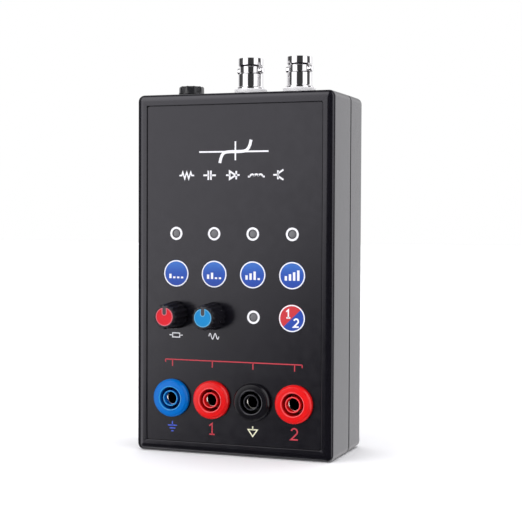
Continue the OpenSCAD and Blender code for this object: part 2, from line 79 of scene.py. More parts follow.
CASE_LOW = Vector(map(min, box("front_shell")[0], box("rear_shell")[0]))
CASE_HIGH = Vector(map(max, box("front_shell")[1], box("rear_shell")[1]))
CASE_W = CASE_HIGH.x - CASE_LOW.x
CASE_H = CASE_HIGH.z - CASE_LOW.z
RIM_F = -CASE_LOW.y                          # distances in front of the case's middle plane
REAR_F = -CASE_HIGH.y
SEAM_F = -box("front_shell")[1].y
SHEET_F = -box("panel_overlay")[0].y
FLOOR_F = -box("panel_overlay")[1].y
SHEET_W = box("panel_overlay")[1].x - box("panel_overlay")[0].x


def front(x=0.0, z=0.0):
    """Local Z out of the front of the case, from its middle plane."""
    return Matrix.Translation((x, 0, z)) @ Matrix.Rotation(math.radians(90), 4, "X")


def front_of(node):
    """The front placement at a node's middle."""
    at = middle(node)
    return front(at.x, at.z)


def top_of(node):
    """Local Z up from the case's top face, on a node's middle."""
    at = middle(node)
    return Matrix.Translation((at.x, at.y, CASE_HIGH.z))


# ---------------------------------------------------------------- outlines and meshes

def arc(centre, radius, start, end, steps):
    """Points on an arc, from one angle in degrees to another."""
    angles = [math.radians(start + (end - start) * i / steps) for i in range(steps + 1)]
    return [(centre[0] + radius * math.cos(a), centre[1] + radius * math.sin(a)) for a in angles]


def rounded(corners, steps=5):
    """A closed outline whose corners (a, b, radius) are rounded; a corner without a radius stays sharp."""
    points = []
    for i, corner in enumerate(corners):
        here = Vector(corner[:2])
        radius = corner[2] if len(corner) > 2 else 0
        back = (Vector(corners[i - 1][:2]) - here).normalized()
        on = (Vector(corners[(i + 1) % len(corners)][:2]) - here).normalized()
        half = back.angle(on) / 2
        if radius == 0 or half > math.radians(88):
            points.append(tuple(here))
            continue
        centre = here + (back + on).normalized() * radius / math.sin(half)
        start = here + back * radius / math.tan(half) - centre
        end = here + on * radius / math.tan(half) - centre
        turn = start.angle_signed(end)
        for step in range(steps + 1):
            points.append(tuple(centre + Matrix.Rotation(-turn * step / steps, 2) @ start))
    return points


def turned(outline, steps=96, wave=None):
    """A closed outline of (radius, height) turned round Z. With wave, a point may add how far its radius and
    its height follow wave(angle)."""
    verts, faces, rings = [], [], []
    for point in outline:
        r, h, out, up = (list(point) + [0, 0])[:4]
        if r < 1e-6:
            rings.append([len(verts)])
            verts.append((0, 0, h))
            continue
        rings.append(list(range(len(verts), len(verts) + steps)))
        for i in range(steps):
            a = TAU * i / steps
            w = wave(a) if wave else 0
            verts.append(((r + out * w) * math.cos(a), (r + out * w) * math.sin(a), h + up * w))
    for ring, after in zip(rings, rings[1:] + rings[:1]):
        if len(ring) == len(after) == 1:
            continue
        for i in range(steps):
            j = (i + 1) % steps
            quad = [ring[i % len(ring)], ring[j % len(ring)], after[j % len(after)], after[i % len(after)]]
            faces.append(list(dict.fromkeys(quad)))
    return verts, faces


def lofted(loops, closed=False):
    """A skin over loops of equally many points, with flat ends, or joined end to start if closed."""
    count = len(loops[0])
    verts = [p for loop in loops for p in loop]
    faces = []
    for k in range(len(loops) if closed else len(loops) - 1):
        a = k * count
        b = (k + 1) % len(loops) * count
        faces += [[a + i, a + (i + 1) % count, b + (i + 1) % count, b + i] for i in range(count)]
    if not closed:
        faces += [list(range(count))[::-1], [(len(loops) - 1) * count + i for i in range(count)]]
    return verts, faces


def slab(outline, low, high):
    """A flat outline between two heights."""
    return lofted([[(x, y, low) for x, y in outline], [(x, y, high) for x, y in outline]])


def joined(*parts):
    """Several (verts, faces) as one."""
    verts, faces = [], []
    for v, f in parts:
        faces += [[i + len(verts) for i in face] for face in f]
        verts += v
    return verts, faces


def moved(part, matrix):
    return [tuple(matrix @ Vector(v)) for v in part[0]], part[1]


def stroke(points, width, low, high, closed=False):
    """A ribbon of one width along a line of (x, y) points, as thick as its two heights say."""
    line = [Vector(p) for p in points]
    sides = []
    for i, p in enumerate(line):
        before = line[i - 1] if (i or closed) else None
        after = line[(i + 1) % len(line)] if (i + 1 < len(line) or closed) else None
        ways = [(b - a).normalized() for a, b in ((before, p), (p, after)) if a is not None and b is not None]
        along = sum(ways, Vector((0, 0))).normalized()
        across = Vector((-along.y, along.x))
        reach = width / 2 / max(0.35, abs(across.dot(Vector((-ways[0].y, ways[0].x)))))
        sides.append((p + across * reach, p - across * reach))
    loops = [[(l.x, l.y, low), (r.x, r.y, low), (r.x, r.y, high), (l.x, l.y, high)] for l, r in sides]
    return lofted(loops, closed)


def disc(centre, radius, low, high, steps):
    return slab(arc(centre, radius, 0, 360 * (steps - 1) / steps, steps - 1), low, high)


def ring(centre, radius, width, low, high, steps=64):
    return stroke(arc(centre, radius, 0, 360 * (steps - 1) / steps, steps - 1), width, low, high, closed=True)


# ---------------------------------------------------------------- pieces

def make(name, part, place, material, sharp=35):
    """A mesh object from a part in millimetres, smooth except across edges sharper than the angle."""
    mesh = bpy.data.meshes.new(name)
    verts = [tuple(place @ Vector(v) * MM) for v in part[0]]
    mesh.from_pydata(verts, [], part[1])
    work = bmesh.new()
    work.from_mesh(mesh)
    bmesh.ops.recalc_face_normals(work, faces=work.faces)
    work.to_mesh(mesh)
    work.free()
    mesh.shade_smooth()
    mesh.set_sharp_from_angle(angle=math.radians(sharp))
    piece = bpy.data.objects.new(name, mesh)
    bpy.context.scene.collection.objects.link(piece)
    if material:
        mesh.materials.append(material)
    return piece


def dress(piece, body, slot, *nodes):
    """Says what a piece moves with and which CAD nodes it stands for; the slot argument is not used."""
    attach(piece, body)
    if nodes:
        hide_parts(*nodes)
    return piece


def bake(piece):
    """Applies a piece's modifiers to its mesh."""
    view = bpy.context.evaluated_depsgraph_get()
    mesh = bpy.data.meshes.new_from_object(piece.evaluated_get(view))
    old = piece.data
    piece.modifiers.clear()
    piece.data = mesh
    bpy.data.meshes.remove(old)


def carve(piece, parts, place, operation="DIFFERENCE", sharp=35):
    """Cuts closed parts that don't touch out of a piece, or joins them to it, and leaves it smooth."""
    tool = make("tool", joined(*parts), place, None)
    cut = piece.modifiers.new("cut", "BOOLEAN")
    cut.operation = operation
    cut.solver = "EXACT"
    cut.object = tool
    bpy.context.view_layer.update()
    bake(piece)
    bpy.data.objects.remove(tool)
    piece.data.shade_smooth()
    piece.data.set_sharp_from_angle(angle=math.radians(sharp))


def soften(piece, width):
    """Rounds a piece's sharp edges."""
    bevel = piece.modifiers.new("edges", "BEVEL")
    bevel.width = width * MM
    bevel.segments = 3
    bevel.limit_method = "ANGLE"
    bevel.angle_limit = math.radians(40)
    bevel.harden_normals = True


def even(piece):
    """Keeps flat faces flat beside rounded edges."""
    normals = piece.modifiers.new("normals", "WEIGHTED_NORMAL")
    normals.keep_sharp = True


# ---------------------------------------------------------------- materials

def linear(r, g, b):
    """A colour read as 0 to 255 on a screen, as the shader wants it."""
    shares = [v / 255 for v in (r, g, b)]
    return tuple(v / 12.92 if v <= 0.04 else ((v + 0.055) / 1.055) ** 2.4 for v in shares) + (1,)


class Shader:
    """A principled material with a few procedural layers."""

    def __init__(self, name, colour, roughness, metallic=0.0, ior=1.5):
        self.material = bpy.data.materials.new(name)
        self.material.use_nodes = True
        self.nodes = self.material.node_tree.nodes
        self.links = self.material.node_tree.links
        self.base = self.nodes["Principled BSDF"]
        self.base.inputs["Base Color"].default_value = colour
        self.base.inputs["Roughness"].default_value = roughness
        self.base.inputs["Metallic"].default_value = metallic
        self.base.inputs["IOR"].default_value = ior
        self.place = self.nodes.new("ShaderNodeTexCoord").outputs["Object"]
        self.bumps = None

    def noise(self, size, detail=3.0):
        """Noise whose features are about size millimetres across."""
        node = self.nodes.new("ShaderNodeTexNoise")
        node.inputs["Scale"].default_value = 1 / (size * MM)
        node.inputs["Detail"].default_value = detail
        self.links.new(self.place, node.inputs["Vector"])
        return node.outputs["Fac"]

    def spread(self, value, low, high, start=0.3, end=0.7):
        """Maps a value between start and end onto low to high."""
        node = self.nodes.new("ShaderNodeMapRange")
        node.inputs["From Min"].default_value = start
        node.inputs["From Max"].default_value = end
        node.inputs["To Min"].default_value = low
        node.inputs["To Max"].default_value = high
        self.links.new(value, node.inputs["Value"])
        return node.outputs["Result"]

    def mottle(self, size, amount):
        """Lets the colour drift lighter and darker by a share of itself."""
        colour = self.base.inputs["Base Color"]
        mix = self.nodes.new("ShaderNodeMix")
        mix.data_type = "RGBA"
        mix.blend_type = "MULTIPLY"
        mix.inputs["Factor"].default_value = 1
        if colour.links:
            self.links.new(colour.links[0].from_socket, mix.inputs["A"])
        else:
            mix.inputs["A"].default_value = colour.default_value
        shade = self.spread(self.noise(size), 1 - amount, 1 + amount)
        combine = self.nodes.new("ShaderNodeCombineColor")
        for channel in ("Red", "Green", "Blue"):
            self.links.new(shade, combine.inputs[channel])
        self.links.new(combine.outputs[0], mix.inputs["B"])
        self.links.new(mix.outputs["Result"], colour)
        return self

    def wear(self, size, low, high):
        """Lets the roughness wander between two values."""
        self.links.new(self.spread(self.noise(size, 5), low, high), self.base.inputs["Roughness"])
        return self

    def grain(self, size, depth, strength=0.5):
        """A fine relief, depth millimetres deep."""
        bump = self.nodes.new("ShaderNodeBump")
        bump.inputs["Strength"].default_value = strength
        bump.inputs["Distance"].default_value = depth * MM
        self.links.new(self.noise(size, 4), bump.inputs["Height"])
        if self.bumps:
            self.links.new(self.bumps, bump.inputs["Normal"])
        self.bumps = bump.outputs[0]
        self.links.new(self.bumps, self.base.inputs["Normal"])
        return self

    def along(self, direction, start, end, stops, stepped=False):
        """Colours that follow the distance in millimetres along a direction."""
        dot = self.nodes.new("ShaderNodeVectorMath")
        dot.operation = "DOT_PRODUCT"
        dot.inputs[1].default_value = direction
        self.links.new(self.place, dot.inputs[0])
        ramp = self.nodes.new("ShaderNodeValToRGB")
        ramp.color_ramp.interpolation = "CONSTANT" if stepped else "EASE"
        self.links.new(self.spread(dot.outputs["Value"], 0, 1, start * MM, end * MM), ramp.inputs["Fac"])
        elements = ramp.color_ramp.elements
        for i, (position, colour) in enumerate(stops):
            element = elements[i] if i < len(elements) else elements.new(position)
            element.position = position
            element.color = colour
        self.links.new(ramp.outputs["Color"], self.base.inputs["Base Color"])
        return self


def plastic(name, colour, roughness, grain=0.25, depth=0.0012, ior=1.5, drift=0.06, tint=None, gloss=0.5):
    """A moulded plastic: fine tool texture, slight unevenness of colour and gloss."""
    shader = Shader(name, colour, roughness, ior=ior)
    shader.mottle(9, drift).wear(3, roughness * 0.85, roughness * 1.15)
    shader.grain(grain, depth).grain(14, depth * 5, 0.3)
    shader.base.inputs["Specular IOR Level"].default_value = gloss
    if tint:
        shader.base.inputs["Specular Tint"].default_value = tint
    return shader


def metal(name, colour, roughness, grain=0.4, depth=0.0006):
    """A plated or bare metal with faint smears."""
    shader = Shader(name, colour, roughness, metallic=1)
    shader.mottle(2, 0.05).wear(1.5, roughness * 0.7, roughness * 1.4).grain(grain, depth, 0.3)
    return shader


def key_print(name, z, reach):
    """Blue that runs from light at a key's top to deep at its bottom."""
    shader = Shader(name, (0, 0, 0, 1), 0.38)
    stops = [(0.0, linear(4, 58, 156)), (0.45, linear(6, 70, 168)), (1.0, linear(44, 106, 190))]
    shader.along((0, 0, 1), z - reach, z + reach, stops)
    return shader.mottle(1.2, 0.03).grain(0.3, 0.003).material


def split_print(name, x, z):
    """Red ink above and to the left of a diagonal, blue ink below it."""
    shader = Shader(name, (0, 0, 0, 1), 0.38)
    diagonal = Vector((-1, 0, 1.05)).normalized()
    at = diagonal.dot(Vector((x, 0, z)))
    stops = [(0.0, linear(6, 62, 164)), (0.5, linear(198, 34, 46))]
    shader.along(diagonal, at - 1, at + 1, stops, stepped=True)
    return shader.mottle(1.2, 0.03).grain(0.3, 0.003).material


COOL = (0.97, 0.95, 1.0, 1)                  # the faint violet of the case's gloss
CASE_LOOK = plastic("case_plastic", linear(15, 14, 20), 0.17, grain=0.3, depth=0.0005, ior=1.52, tint=COOL)
BLACK_CASE = CASE_LOOK.material
PANEL_SHEET = plastic("panel_sheet", linear(16, 15, 21), 0.2, grain=0.16, depth=0.0006, tint=COOL).material
WHITE_INK = plastic("white_ink", linear(236, 236, 240), 0.5, grain=0.12, drift=0.03).material
RED_INK = plastic("red_ink", linear(196, 48, 64), 0.5, grain=0.12, drift=0.05).material
BLUE_INK = plastic("blue_ink", linear(58, 84, 196), 0.5, grain=0.12, drift=0.05).material
YELLOW_INK = plastic("yellow_ink", linear(238, 238, 206), 0.5, grain=0.12, drift=0.03).material
LAMP = plastic("lamp_lens", linear(104, 104, 107), 0.3, grain=0.2, drift=0.04).material
KNOB_BLACK = plastic("knob_plastic", linear(27, 26, 31), 0.24, grain=0.15, depth=0.001).material
# The pointer is a grey paler than the knob's black: a painted highlight for the light its top catches.
POINTER_HIGHLIGHT_GREY = plastic("pointer_plastic", linear(58, 54, 60), 0.4, grain=0.15, depth=0.0012).material
CAP_RED = plastic("cap_red", linear(208, 18, 36), 0.38, grain=0.2, depth=0.001, gloss=0.25).material
CAP_BLUE = plastic("cap_blue", linear(0, 126, 188), 0.38, grain=0.2, depth=0.001, gloss=0.25).material
# The caps' lips are a paler red and blue: a painted highlight along each cap's edge.
CAP_RED_LIP_HIGHLIGHT = plastic("cap_red_lip_painted_highlight", linear(214, 104, 118), 0.3, grain=0.2, depth=0.001).material
CAP_BLUE_LIP_HIGHLIGHT = plastic("cap_blue_lip_painted_highlight", linear(92, 170, 210), 0.3, grain=0.2, depth=0.001).material
# Each socket's paler second colour is a painted highlight, laid on the groove's lip and the tube's rim.
SOCKET_BLUE = plastic("socket_blue", linear(0, 104, 190), 0.12, grain=0.5, depth=0.0006, gloss=0.2).material
SOCKET_BLUE_HIGHLIGHT = plastic("socket_blue_painted_highlight", linear(44, 142, 206), 0.12, grain=0.5, depth=0.0006).material
SOCKET_RED = plastic("socket_red", linear(220, 20, 22), 0.12, grain=0.5, depth=0.0006, gloss=0.4).material
SOCKET_RED_HIGHLIGHT = plastic("socket_red_painted_highlight", linear(236, 70, 74), 0.12, grain=0.5, depth=0.0006).material
SOCKET_BLACK = plastic("socket_black", linear(18, 17, 21), 0.1, grain=0.5, depth=0.0006, gloss=0.35).material
SOCKET_BLACK_HIGHLIGHT = plastic("socket_black_painted_highlight", linear(44, 43, 48), 0.1, grain=0.5, depth=0.0006).material
JACK_BLACK = plastic("jack_plastic", linear(28, 28, 31), 0.3, grain=0.2, depth=0.001).material
JACK_WASHER = plastic("jack_washer", linear(190, 188, 196), 0.4, grain=0.2, depth=0.001).material
WHITE_LOOK = plastic("white_plastic", linear(246, 245, 246), 0.34, grain=0.3, depth=0.001, drift=0.02)
WHITE_PLASTIC = WHITE_LOOK.material
PLUG_METAL = metal("plug_metal", linear(236, 233, 228), 0.12).material
# A dark metal for the contact's deep bore: painted shade inside the hole.
BORE_SHADE_METAL = metal("bore_metal_painted_shade", linear(70, 68, 64), 0.3).material
NICKEL = metal("nickel", linear(226, 225, 226), 0.06).material
GOLD = metal("gold", linear(222, 182, 96), 0.2).material
STEEL = metal("steel", linear(176, 177, 180), 0.3).material

SLOT_LOOKS = {
    "inner_black": plastic("inner_black", linear(26, 26, 28), 0.5).material,
    "contact_nickel": PLUG_METAL,
    "contact_gold": GOLD,
    "steel": STEEL,
    "jack_black": JACK_BLACK,
    "white_plastic": WHITE_PLASTIC,
    "board_green": plastic("board_green", linear(24, 104, 52), 0.25, grain=1.2, depth=0.01).material,
    "relay_ivory": plastic("relay_ivory", linear(222, 216, 198), 0.45).material,
    "capacitor_can": metal("capacitor_can", linear(196, 197, 200), 0.35).material,
    "lead_red": plastic("lead_red", linear(196, 30, 34), 0.4).material,
    "lead_white": plastic("lead_white", linear(226, 226, 220), 0.4).material,
    "lead_black": plastic("lead_black", linear(30, 30, 32), 0.4).material,
}


# ---------------------------------------------------------------- case

WALL = 2.2
CORNER_R = 2.6
DRAFT = 0.06                                 # how much the case narrows from the seam to either face
RIM_W = (CASE_W - SHEET_W) / 2 - 0.13
SEAM_GAP = 0.8


def case_loop(inset, f, least=0.6, steps=9):
    """The case's outline, seen from the front and shrunk by inset, at a distance from the middle plane."""
    w = CASE_W / 2 - inset
    h = CASE_H / 2 - inset
    r = max(CORNER_R - inset, least)
    points = []
    for sx, sy, start in ((1, 1, 0), (-1, 1, 90), (-1, -1, 180), (1, -1, 270)):
        points += arc((sx * (w - r), sy * (h - r)), r, start, start + 90, steps)
    return [(x, y, f) for x, y in points]


def rods(places, radius, low, high, steps=48):
    """Plain round bars from one height to another."""
    return [disc(p, radius, low, high, steps) for p in places]


def on_panel(node):
    """A node's place on the panel, measured from the case's middle."""
    at = middle(node)
    return at.x, at.z - CASE_H / 2


LED_PLACES = [on_panel(f"led_{k}") for k in KEYS]
KEY_PLACES = [on_panel(f"key_{k}") for k in KEYS]
KNOB_PLACES = [on_panel(f"{c}_knob") for c in ("red", "blue")]
SOCKETS = ["ground", "channel_1", "common", "channel_2"]
SOCKET_PLACES = [on_panel(f"{s}_socket") for s in SOCKETS]
SCREW_LOW, SCREW_HIGH = box("case_screws")
HEAD_R = 2.7
SCREW_X = SCREW_HIGH.x - HEAD_R
SCREW_Z = (SCREW_HIGH.z - SCREW_LOW.z) / 2 - HEAD_R
SCREW_PLACES = [(x, z) for x in (-SCREW_X, SCREW_X) for z in (-SCREW_Z, SCREW_Z)]
MIDDLE = CASE_H / 2


def front_shell():
    """A deep tray with a crowned rim: a wide soft arc runs into a tight one at the side."""
    wide_r, tight_r, turn = 4.0, 1.7, 32
    s, c = math.sin(math.radians(turn)), math.cos(math.radians(turn))
    rim_flat = DRAFT + wide_r * s + tight_r * (1 - s)
    crown = arc((rim_flat, RIM_F - wide_r), wide_r, 90, 90 + turn, 8)
    centre = (DRAFT + tight_r, RIM_F - wide_r * (1 - c) - tight_r * c)
    shoulder = arc(centre, tight_r, 90 + turn, 180, 12)[1:]
    edge = 0.2
    outside = [(WALL, SEAM_F), (0.25, SEAM_F)] + arc((0.2, SEAM_F + 0.2), 0.2, 270, 180, 4)
    outside += shoulder[::-1] + crown[::-1]
    outside += arc((RIM_W - edge, RIM_F - edge), edge, 90, 0, 4) + [(RIM_W, FLOOR_F)]
    loops = [case_loop(WALL, FLOOR_F - 2.3)] + [case_loop(inset, f) for inset, f in outside]
    piece = make("front_case", lofted(loops), front(0, MIDDLE), BLACK_CASE)
    cuts = rods(LED_PLACES, 1.6, 0, RIM_F) + rods(KEY_PLACES, box("key_low")[1].x - middle("key_low").x + 0.2,
                                                FLOOR_F - 0.6, RIM_F)
    cuts += rods(KNOB_PLACES, 3.8, 0, RIM_F) + rods(SOCKET_PLACES, 6, 0, RIM_F)
    carve(piece, cuts, front(0, MIDDLE))
    carve(piece, rods(KEY_PLACES, 2.25, 0, FLOOR_F - 0.3), front(0, MIDDLE))
    holes = []
    for node, radius in (("bnc_left_body", 5.6), ("bnc_right_body", 5.6), ("power_jack_body", 4.05)):
        at = middle(node)
        on_top = Matrix.Translation((at.x, at.y, CASE_HIGH.z))
        holes.append(moved(disc((0, 0), radius, -WALL - 1, 1, 48), on_top))
    carve(piece, holes, Matrix.Identity(4))
    even(piece)
    return dress(piece, "case", "case_black", "front_shell")


def rear_shell():
    """A shallow tray with a rounded back, a stepped seam, and posts with sunk screw holes."""
    round_r = 2.5
    back = arc((DRAFT + round_r, REAR_F + round_r), round_r, 180, 270, 12)
    step = SEAM_F - SEAM_GAP
    outside = [(WALL, SEAM_F), (SEAM_GAP, SEAM_F), (SEAM_GAP, step)]
    outside += arc((0.22, step - 0.22), 0.22, 90, 180, 4)
    loops = [case_loop(WALL, REAR_F + WALL)] + [case_loop(inset, f) for inset, f in outside + back]
    piece = make("rear_case", lofted(loops), front(0, MIDDLE), BLACK_CASE)
    carve(piece, rods(SCREW_PLACES, 3.7, REAR_F + 1.1, SEAM_F - 0.1), front(0, MIDDLE), "UNION")
    head_f = -SCREW_HIGH.y + 1.9
    outline = [(0, REAR_F - 1), (3.4, REAR_F - 1), (3.4, REAR_F), (2.9, REAR_F + 0.5), (2.9, head_f),
               (1.65, head_f), (1.65, SEAM_F + 1), (0, SEAM_F + 1)]
    sink = turned(outline, 48)
    parts = [moved(sink, Matrix.Translation((x, z, 0))) for x, z in SCREW_PLACES]
    carve(piece, parts, front(0, MIDDLE))
    even(piece)
    return dress(piece, "case", "case_black", "rear_shell")


def panel_sheet():
    """The printed sheet, with its windows and holes."""
    inset = (CASE_W - SHEET_W) / 2
    edge = 0.08
    outside = [(inset, FLOOR_F), (inset, SHEET_F - edge), (inset + edge, SHEET_F)]
    piece = make("panel_sheet", lofted([case_loop(i, f) for i, f in outside]), front(0, MIDDLE), PANEL_SHEET)
    key_r = box("key_low")[1].x - middle("key_low").x
    cuts = rods(LED_PLACES, 1.72, 0, RIM_F) + rods(KEY_PLACES, key_r + 0.08, 0, RIM_F, 96)
    cuts += rods(KNOB_PLACES, 3.8, 0, RIM_F) + rods(SOCKET_PLACES, 6, 0, RIM_F)
    carve(piece, cuts, front(0, MIDDLE))
    even(piece)
    return dress(piece, "case", "panel_print", "panel_overlay")


# ---------------------------------------------------------------- lamps, keys and knobs

def lamp(key):
    """A diffusing lens with a domed tip; the CAD node keeps its leads."""
    node = f"led_{key}"
    tip = -box(node)[0].y
    base = tip - 5.2
    outline = rounded([(0, base), (1.9, base, 0.15), (1.9, base + 1, 0.15), (1.55, base + 1),
                       (1.55, tip - 0.4)], 3)
    outline += arc((1.2, tip - 0.4), 0.35, 20, 80, 5) + [(0.7, tip - 0.01), (0, tip)]
    leads = [slab([(x - 0.25, -0.25), (x + 0.25, -0.25), (x + 0.25, 0.25), (x - 0.25, 0.25)], 7, base)
             for x in (-1.27, 1.27)]
    piece = make(f"lamp_{key}", joined(turned(outline, 48), *leads), front_of(node), LAMP)
    return dress(piece, "case", "lamp", node)


def key_cap(key, material):
    """A printed key, crowned by a hair, with a white ring round its edge."""
    node = f"key_{key}"
    low, high = box(node)
    radius = (high.x - low.x) / 2
    body = f"{key}_key"
    face = -low.y - 0.03
    rise = 0.05
    outline = [(0, -high.y), (radius, -high.y), (radius, face - 0.1), (radius - 0.08, face)]
    outline += [(radius * s, face + rise * (1 - s * s)) for s in (0.9, 0.75, 0.55, 0.3)] + [(0, face + rise)]
    piece = make(f"key_{key}", turned(outline), front_of(node), material)
    dress(piece, body, "key_blue" if key != "channel" else "key_two_colour", node)
    rim = [(radius - 0.1, face - 0.05), (radius - 0.1, face + 0.035), (radius - 0.55, face + 0.045),
           (radius - 0.55, face - 0.05)]
    dress(make(f"key_ring_{key}", turned(rim), front_of(node), WHITE_INK), body, "white_plastic")
    return piece


def ribs(count, fullness):
    """A wave with count rounded crests and narrower valleys, from 0 to 1."""
    return lambda angle: (0.5 + 0.5 * math.cos(count * angle)) ** fullness


RIB_COUNT = 15
POINTER_W = 1.4


def knob(colour, cap_material, lip_highlight_material):
    """A ribbed knob, its coloured cap with a lip painted paler as a highlight, and the pointer in the cap's
    slot.
    """
    place = front_of(f"{colour}_knob")
    body = f"{colour}_knob"
    low, high = box(body)
    rib = 0.62
    foot_r = (high.x - low.x) / 2 - rib
    foot = -high.y
    top = -box(f"{colour}_knob_cap")[0].y
    cap_low = -box(f"{colour}_knob_cap")[1].y
    cap_r = (box(f"{colour}_knob_cap")[1].x - box(f"{colour}_knob_cap")[0].x) / 2
    shoulder = -low.y
    neck = foot_r - 0.7
    outline = [(3.1, foot), (foot_r - 0.1, foot, rib * 0.8), (foot_r, foot + 0.15, rib),
               (foot_r - 0.02, foot + 0.5, rib)]
    outline += [(neck + 0.05, shoulder - 1.1, rib), (neck, shoulder - 0.7, rib * 0.95),
                (neck, shoulder - 0.4, rib * 0.75), (neck - 0.05, shoulder - 0.18, rib * 0.4),
                (neck - 0.15, shoulder - 0.04, rib * 0.1), (neck - 0.3, shoulder)]
    outline += [(cap_r + 0.22, shoulder), (cap_r + 0.04, shoulder - 0.1), (cap_r + 0.04, cap_low),
                (0, cap_low), (0, cap_low - 0.8), (3.1, cap_low - 0.8)]
    grip = turned(outline, RIB_COUNT * 16, ribs(RIB_COUNT, 1.3))
    piece = make(f"{colour}_knob_grip", grip, place, KNOB_BLACK, 50)
    dress(piece, body, "knob_black", body)

    slot = POINTER_W / 2
    root = 1.5
    half = math.degrees(math.asin((slot + 0.03) / cap_r))
    outline = arc((0, 0), cap_r, 90 + half, 450 - half, 90) + arc((0, root), slot + 0.03, 0, -180, 12)
    cap = make(f"{colour}_knob_cap", slab(outline, cap_low, top - 0.12), place, cap_material)
    soften(cap, 0.1)
    dress(cap, body, f"cap_{colour}", f"{colour}_knob_cap")
    # The lip round the cap's edge takes the paler colour, a painted highlight.
    edge = cap_r - 0.16
    half = math.degrees(math.asin((slot + 0.19) / edge))
    outline = arc((0, 0), edge, 90 + half, 450 - half, 90) + arc((0, root), slot + 0.19, 0, -180, 12)
    lip = make(f"{colour}_knob_cap_lip", stroke(outline, 0.28, top - 0.4, top, True), place, lip_highlight_material)
    soften(lip, 0.1)
    dress(lip, body, f"cap_{colour}")

    # The pointer rib is painted paler than the knob's black, as a highlight.
    outline = arc((0, root), slot, -180, 0, 12) + [(slot, cap_r + 0.2), (-slot, cap_r + 0.2)]
    pointer = make(f"{colour}_knob_pointer", slab(outline, cap_low, shoulder + 0.02), place, POINTER_HIGHLIGHT_GREY)
    dress(pointer, body, "knob_black")


# ---------------------------------------------------------------- sockets

def socket(name, material, highlight_material, slot):
    """A shrouded 4 mm socket: flange, ring groove, inner tube, and the metal contact in it; the groove's lip
    and the tube's rim are painted paler as highlights.
    """
    node = f"{name}_socket"
    low, high = box(node)
    r = (high.x - low.x) / 2
    face = -low.y
    barrel_r, groove_r, tube_r, bore_r = 5.9, 4.35, 3.05, 2.6
    groove_floor = 12
    contact_f = -box(f"{name}_contact")[0].y
    outline = rounded([
        (2.47, -high.y), (barrel_r, -high.y, 0.3), (barrel_r, SHEET_F), (r - 0.05, SHEET_F, 0.1),
        (r, SHEET_F + 0.4, 0.2), (r - 0.1, face - 1.0, 0.5), (6.75, face - 0.36, 0.12),
        (6.55, face - 0.34, 0.05), (6.42, face - 0.1, 0.1), (5.0, face - 0.12, 0.2), (4.72, face, 0.12),
        (groove_r + 0.06, face - 0.05, 0.1), (groove_r, face - 0.6, 0.2), (groove_r, groove_floor, 0.2),
        (tube_r, groove_floor, 0.2), (tube_r, face - 0.4, 0.14), (bore_r, face - 0.4, 0.14),
        (bore_r, contact_f),
        (2.47, contact_f)], 6)
    piece = make(f"{name}_insulator", turned(outline, 112), front_of(node), material, 60)
    piece.data.materials.append(highlight_material)
    inward = front_of(node).inverted()
    # Faces on the groove's lip and the tube's rim take the paler colour: a painted highlight.
    for face in piece.data.polygons:
        at = inward @ (face.center / MM)
        on_lip = groove_r < at.xy.length < 4.74 and at.z > SHEET_F + 2
        on_tube = bore_r < at.xy.length < tube_r and at.z > SHEET_F + 1.5
        if on_lip or on_tube:
            face.material_index = 1
    dress(piece, "case", slot, node)

    plug_r, stud, head, bore_floor = 2.02, -box(f"{name}_contact")[1].y, 2.5, 4
    outline = rounded([(0, stud), (1.5, stud, 0.2), (1.5, head), (2.45, head), (2.45, contact_f, 0.05),
                       (plug_r + 0.36, contact_f, 0.05), (plug_r, contact_f - 0.6, 0.2),
                       (plug_r, bore_floor), (0, bore_floor)], 4)
    contact = make(f"{name}_plug_contact", turned(outline, 72), front_of(node), PLUG_METAL)
    contact.data.materials.append(BORE_SHADE_METAL)
    # Faces deep in the bore take the dark metal: painted shade down the hole.
    for face in contact.data.polygons:
        at = inward @ (face.center / MM)
        if at.z < contact_f - 0.8 and at.xy.length < plug_r + 0.05:
            face.material_index = 1
    dress(contact, "case", "contact_nickel", f"{name}_contact")


# ---------------------------------------------------------------- top connectors

LUG_TURN = -10                               # the bayonet lugs: their turn from the X axis,
LUG_REACH = 5.6                              # how far out they stand,
LUG_DROP = 4.6                               # and how far they lie below the barrel's mouth


